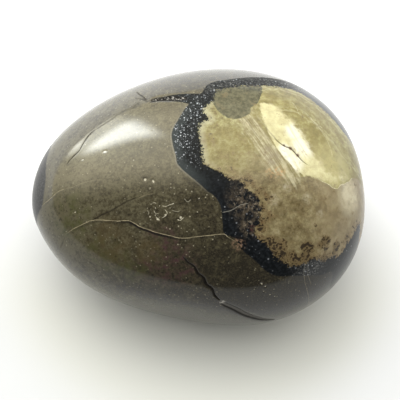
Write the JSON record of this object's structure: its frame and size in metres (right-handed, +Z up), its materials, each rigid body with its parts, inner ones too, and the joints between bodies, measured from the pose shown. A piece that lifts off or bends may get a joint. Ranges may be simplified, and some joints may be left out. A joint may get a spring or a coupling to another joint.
{
  "type": "septarian pebble",
  "caption": "Polished egg-shaped septarian stone: olive-brown limestone with a window of yellow calcite edged by a dark aragonite band, lying on its side.",
  "frame": {"origin": "on the ground under the middle of the stone's outline", "axes": "+X along the length towards the blunt end, +Z up; the calcite window looks up and towards -Y"},
  "size_m": [0.0644, 0.0504, 0.0411],
  "materials": {
    "polished_stone": "polished"
  },
  "bodies": {
    "root": {"pebble": "polished_stone"}
  },
  "joints": []
}
